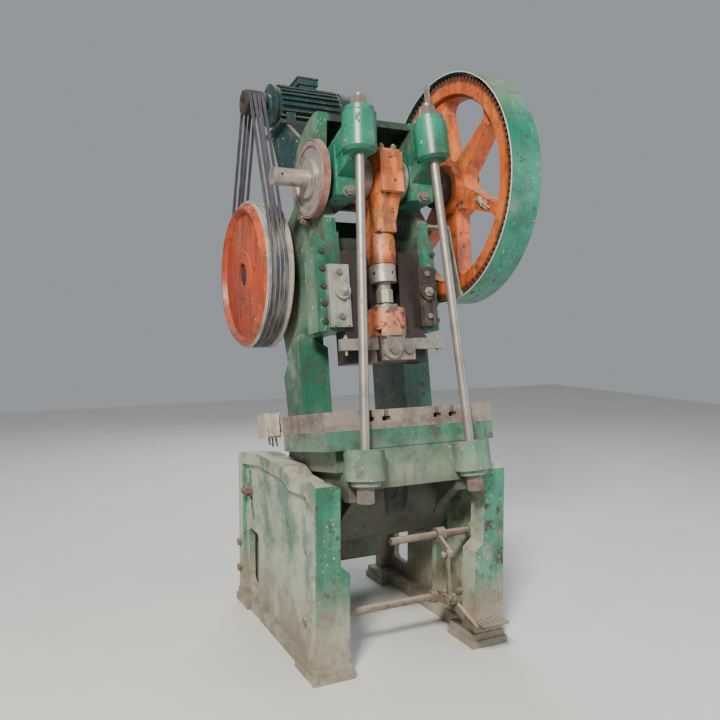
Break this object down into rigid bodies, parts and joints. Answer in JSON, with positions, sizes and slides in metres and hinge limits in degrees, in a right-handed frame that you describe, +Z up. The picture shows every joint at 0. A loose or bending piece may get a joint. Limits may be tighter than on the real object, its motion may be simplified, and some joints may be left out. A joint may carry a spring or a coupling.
{
  "type": "mechanical stamping press",
  "caption": "Geared C-frame stamping press on two legs: inclinable frame, front tie rods, bull gear, flywheel, crank and guided ram over a bolster",
  "frame": {"origin": "on the floor in the middle of the four foot bolt holes", "axes": "X to the right seen from the operator, Y to the back, Z up; the upper frame leans back nine degrees at rest"},
  "size_m": [1.026, 1.4096, 2.6122],
  "materials": {
    "belt_rubber": "black-blue rubber belts",
    "block_paint": "cream paint, dirty",
    "bolt_steel": "black bolts, rust stained",
    "bronze": "bearing bronze",
    "dark_steel": "oily dark steel",
    "drive_pulley": "grey iron pulley",
    "drum_steel": "turned face with rust film",
    "gib_steel": "ground steel with dried grease",
    "green_cap": "bright green enamel, lightly chipped",
    "green_casting": "worn green enamel over cast iron, chipped and rusty",
    "lining": "woven brake lining",
    "motor_green": "dark blue-green enamel",
    "orange_paint": "red-orange enamel with grease and wear",
    "pedal_steel": "rusty forged steel",
    "rod_steel": "bare turned steel, dull and dusty",
    "rusty_plate": "machined plate with brown rust film"
  },
  "bodies": {
    "base": {"leg_left": "green_casting", "leg_right": "green_casting", "rear_spreader": "green_casting", "spreader_bolts": "bolt_steel", "pedal_shaft": "pedal_steel"},
    "pedal": {"pedal_arm": "pedal_steel", "pedal_pad": "pedal_steel"},
    "link": {"trip_link": "pedal_steel"},
    "trip": {"trip_shaft": "pedal_steel", "trip_lever": "pedal_steel"},
    "frame": {"press_frame": "green_casting", "clamp_bolts": "bolt_steel", "bolster_plate": "rusty_plate", "bolster_bolts": "bolt_steel", "tie_rod_left": "rod_steel", "tie_rod_right": "rod_steel", "tie_rod_nuts": "bolt_steel", "bearing_cap_left": "green_cap", "bearing_cap_right": "green_cap", "bearing_cap_nuts": "bolt_steel", "crank_bushes": "bronze", "gib_left": "gib_steel", "gib_right": "gib_steel", "gib_bolts": "bolt_steel", "gib_adjusters": "gib_steel", "back_shaft_bushes": "bronze", "motor_bracket": "motor_green", "motor_body": "motor_green", "motor_fan_cover": "motor_green", "terminal_box": "motor_green", "gear_guard": "green_cap", "guard_straps": "gib_steel", "brake_band": "drum_steel", "brake_lining": "lining", "brake_bolt": "bolt_steel", "cable_block": "block_paint", "drive_belts": "belt_rubber"},
    "crank_line": {"crankshaft": "drum_steel", "brake_drum": "drum_steel", "crankpin_bush": "bronze", "gear_collar": "dark_steel"},
    "gear_body": {"bull_gear": "orange_paint", "gear_bush": "bronze"},
    "back_line": {"back_shaft": "dark_steel", "flywheel": "orange_paint", "pinion": "dark_steel"},
    "rotor": {"motor_shaft": "dark_steel", "motor_pulley": "drive_pulley"},
    "rod": {"connecting_rod": "orange_paint", "rod_cap": "orange_paint", "rod_nuts": "bolt_steel"},
    "ring": {"lock_ring": "gib_steel"},
    "screw": {"ball_screw": "rod_steel"},
    "slide": {"ram": "orange_paint", "ram_cap": "gib_steel", "shank_clamp": "gib_steel", "clamp_nuts": "bolt_steel"},
    "knockout": {"knockout_bar": "gib_steel", "bar_pins": "gib_steel"}
  },
  "joints": [
    {"name": "frame_incline", "type": "hinge", "parent": "base", "child": "frame", "pos_m": [0, -0.115, 0.66], "axis": [-1, 0, 0], "range_deg": [-9, 16]},
    {"name": "crank_turn", "type": "hinge", "parent": "frame", "child": "crank_line", "pos_m": [0, -0.08895, 2.02168], "axis": [1, 0, 0], "range_deg": [-90, 90]},
    {"name": "slide_stroke", "type": "slide", "parent": "frame", "child": "rod", "axis": [0, 0.1564, 0.9877], "range_m": [-0.0601, 0.0601]},
    {"name": "shut_height", "type": "slide", "parent": "rod", "child": "slide", "axis": [0, 0.1564, 0.9877], "range_m": [-0.03, 0.02]},
    {"name": "screw_turn", "type": "hinge", "parent": "slide", "child": "screw", "pos_m": [0, -0.24754, 1.40388], "axis": [0, 0.1564, 0.9877], "range_deg": [-1801, 1201]},
    {"name": "lock_ring_turn", "type": "hinge", "parent": "rod", "child": "ring", "pos_m": [0, -0.21469, 1.6113], "axis": [0, 0.1564, 0.9877], "range_deg": [-20, 20]},
    {"name": "back_shaft_spin", "type": "hinge", "parent": "frame", "child": "back_line", "pos_m": [0, 0.39161, 1.62835], "axis": [1, 0, 0], "continuous": true},
    {"name": "gear_spin", "type": "hinge", "parent": "frame", "child": "gear_body", "pos_m": [0, -0.08895, 2.02168], "axis": [1, 0, 0], "continuous": true},
    {"name": "motor_spin", "type": "hinge", "parent": "frame", "child": "rotor", "pos_m": [0, 0.41554, 2.45813], "axis": [1, 0, 0], "continuous": true},
    {"name": "pedal_press", "type": "hinge", "parent": "base", "child": "pedal", "pos_m": [0, -0.365, 0.2], "axis": [1, 0, 0], "range_deg": [0, 12], "stiffness_Nm_per_rad": 60, "springref_deg": -17.19},
    {"name": "link_swing", "type": "hinge", "parent": "pedal", "child": "link", "pos_m": [0.176, -0.49, 0.235], "axis": [1, 0, 0], "range_deg": [-24, 1]},
    {"name": "trip_turn", "type": "hinge", "parent": "base", "child": "trip", "pos_m": [0.2, -0.365, 0.474], "axis": [1, 0, 0], "range_deg": [-1, 18.5]},
    {"name": "knockout_lift", "type": "slide", "parent": "slide", "child": "knockout", "axis": [0, 0.1564, 0.9877], "range_m": [0, 0.035]}
  ],
  "couplings": [
    {"joint": "slide_stroke", "follows": "crank_turn", "m_per_rad": -0.038197},
    {"joint": "screw_turn", "follows": "shut_height", "rad_per_m": 1047.2},
    {"joint": "gear_spin", "follows": "back_shaft_spin", "ratio": -0.23214},
    {"joint": "motor_spin", "follows": "back_shaft_spin", "ratio": 6.0526},
    {"joint": "link_swing", "follows": "pedal_press", "ratio": -1.6397},
    {"joint": "trip_turn", "follows": "pedal_press", "ratio": 1.403}
  ]
}
